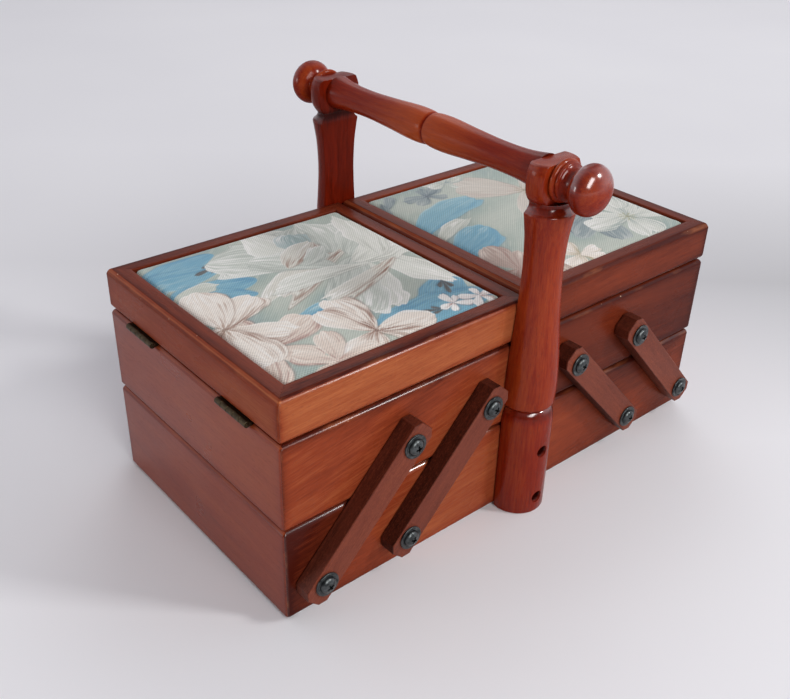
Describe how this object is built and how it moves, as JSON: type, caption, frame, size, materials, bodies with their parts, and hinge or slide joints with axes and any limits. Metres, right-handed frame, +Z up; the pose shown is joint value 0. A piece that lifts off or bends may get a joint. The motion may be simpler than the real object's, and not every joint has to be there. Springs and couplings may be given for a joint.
{
  "type": "sewing box with trays",
  "caption": "Wooden cantilever sewing box: a long base, two trays that swing out on parallel arms, padded fabric lids on hinges and a turned carrying handle.",
  "frame": {"origin": "centre of the overall bounding box, at the height of the surface that the box stands on", "axes": "+X along the box's length, towards the right-hand tray; -Y towards the front; +Z up"},
  "size_m": [0.316, 0.2316, 0.206],
  "materials": {
    "mahogany": "satin lacquer",
    "red_mahogany": "semi-gloss lacquer",
    "inner_wood": "satin",
    "fabric": "woven cotton",
    "dark_steel": "black oxide",
    "aged_brass": "antiqued"
  },
  "bodies": {
    "base": {"base_front_board": "mahogany", "base_back_board": "mahogany", "base_right_board": "mahogany", "base_left_board": "mahogany", "base_bottom_panel": "inner_wood", "base_divider": "inner_wood", "front_post": "red_mahogany", "back_post": "red_mahogany", "front_knob": "red_mahogany", "back_knob": "red_mahogany", "handle_rail": "red_mahogany", "front_post_screw_lower": "dark_steel", "front_post_screw_upper": "dark_steel", "back_post_screw_lower": "dark_steel", "back_post_screw_upper": "dark_steel", "left_front_outer_lower_pivot_screw": "dark_steel", "left_front_inner_lower_pivot_screw": "dark_steel", "left_back_outer_lower_pivot_screw": "dark_steel", "left_back_inner_lower_pivot_screw": "dark_steel", "right_front_outer_lower_pivot_screw": "dark_steel", "right_front_inner_lower_pivot_screw": "dark_steel", "right_back_outer_lower_pivot_screw": "dark_steel", "right_back_inner_lower_pivot_screw": "dark_steel"},
    "left_front_outer_arm_body": {"left_front_outer_arm": "mahogany"},
    "left_front_inner_arm_body": {"left_front_inner_arm": "mahogany"},
    "left_back_outer_arm_body": {"left_back_outer_arm": "mahogany"},
    "left_back_inner_arm_body": {"left_back_inner_arm": "mahogany"},
    "left_tray": {"left_tray_walls": "mahogany", "left_tray_bottom": "inner_wood", "left_tray_divider": "inner_wood", "left_front_hinge_tray_leaf": "aged_brass", "left_front_outer_upper_pivot_screw": "dark_steel", "left_front_inner_upper_pivot_screw": "dark_steel", "left_back_hinge_tray_leaf": "aged_brass", "left_back_outer_upper_pivot_screw": "dark_steel", "left_back_inner_upper_pivot_screw": "dark_steel"},
    "left_lid": {"left_lid_frame": "mahogany", "left_lid_panel": "inner_wood", "left_lid_fabric_pad": "fabric", "left_front_hinge_lid_leaf": "aged_brass", "left_back_hinge_lid_leaf": "aged_brass"},
    "right_front_outer_arm_body": {"right_front_outer_arm": "mahogany"},
    "right_front_inner_arm_body": {"right_front_inner_arm": "mahogany"},
    "right_back_outer_arm_body": {"right_back_outer_arm": "mahogany"},
    "right_back_inner_arm_body": {"right_back_inner_arm": "mahogany"},
    "right_tray": {"right_tray_walls": "mahogany", "right_tray_bottom": "inner_wood", "right_tray_divider": "inner_wood", "right_front_hinge_tray_leaf": "aged_brass", "right_front_outer_upper_pivot_screw": "dark_steel", "right_front_inner_upper_pivot_screw": "dark_steel", "right_back_hinge_tray_leaf": "aged_brass", "right_back_outer_upper_pivot_screw": "dark_steel", "right_back_inner_upper_pivot_screw": "dark_steel"},
    "right_lid": {"right_lid_frame": "mahogany", "right_lid_panel": "inner_wood", "right_lid_fabric_pad": "fabric", "right_front_hinge_lid_leaf": "aged_brass", "right_back_hinge_lid_leaf": "aged_brass"}
  },
  "joints": [
    {"name": "left_tray_swing", "type": "hinge", "parent": "base", "child": "left_front_outer_arm_body", "pos_m": [-0.1387, -0.0854, 0.0227], "axis": [0, -1, 0], "range_deg": [0, 86]},
    {"name": "left_front_inner_arm_follow", "type": "hinge", "parent": "base", "child": "left_front_inner_arm_body", "pos_m": [-0.0865, -0.0854, 0.0227], "axis": [0, -1, 0], "range_deg": [0, 86]},
    {"name": "left_back_outer_arm_follow", "type": "hinge", "parent": "base", "child": "left_back_outer_arm_body", "pos_m": [-0.1387, 0.0854, 0.0227], "axis": [0, -1, 0], "range_deg": [0, 86]},
    {"name": "left_back_inner_arm_follow", "type": "hinge", "parent": "base", "child": "left_back_inner_arm_body", "pos_m": [-0.0865, 0.0854, 0.0227], "axis": [0, -1, 0], "range_deg": [0, 86]},
    {"name": "left_tray_level", "type": "hinge", "parent": "left_front_outer_arm_body", "child": "left_tray", "pos_m": [-0.0858, -0.0854, 0.0793], "axis": [0, -1, 0], "range_deg": [-86, 0]},
    {"name": "left_lid_hinge", "type": "hinge", "parent": "left_tray", "child": "left_lid", "pos_m": [-0.1562, 0, 0.10355], "axis": [0, -1, 0], "range_deg": [0, 180]},
    {"name": "right_tray_swing", "type": "hinge", "parent": "base", "child": "right_front_outer_arm_body", "pos_m": [0.1387, -0.0854, 0.0227], "axis": [0, 1, 0], "range_deg": [0, 86]},
    {"name": "right_front_inner_arm_follow", "type": "hinge", "parent": "base", "child": "right_front_inner_arm_body", "pos_m": [0.0865, -0.0854, 0.0227], "axis": [0, 1, 0], "range_deg": [0, 86]},
    {"name": "right_back_outer_arm_follow", "type": "hinge", "parent": "base", "child": "right_back_outer_arm_body", "pos_m": [0.1387, 0.0854, 0.0227], "axis": [0, 1, 0], "range_deg": [0, 86]},
    {"name": "right_back_inner_arm_follow", "type": "hinge", "parent": "base", "child": "right_back_inner_arm_body", "pos_m": [0.0865, 0.0854, 0.0227], "axis": [0, 1, 0], "range_deg": [0, 86]},
    {"name": "right_tray_level", "type": "hinge", "parent": "right_front_outer_arm_body", "child": "right_tray", "pos_m": [0.0858, -0.0854, 0.0793], "axis": [0, 1, 0], "range_deg": [-86, 0]},
    {"name": "right_lid_hinge", "type": "hinge", "parent": "right_tray", "child": "right_lid", "pos_m": [0.1562, 0, 0.10355], "axis": [0, 1, 0], "range_deg": [0, 180]}
  ],
  "couplings": [
    {"joint": "left_front_inner_arm_follow", "follows": "left_tray_swing", "ratio": 1},
    {"joint": "left_back_outer_arm_follow", "follows": "left_tray_swing", "ratio": 1},
    {"joint": "left_back_inner_arm_follow", "follows": "left_tray_swing", "ratio": 1},
    {"joint": "left_tray_level", "follows": "left_tray_swing", "ratio": -1},
    {"joint": "right_front_inner_arm_follow", "follows": "right_tray_swing", "ratio": 1},
    {"joint": "right_back_outer_arm_follow", "follows": "right_tray_swing", "ratio": 1},
    {"joint": "right_back_inner_arm_follow", "follows": "right_tray_swing", "ratio": 1},
    {"joint": "right_tray_level", "follows": "right_tray_swing", "ratio": -1}
  ]
}
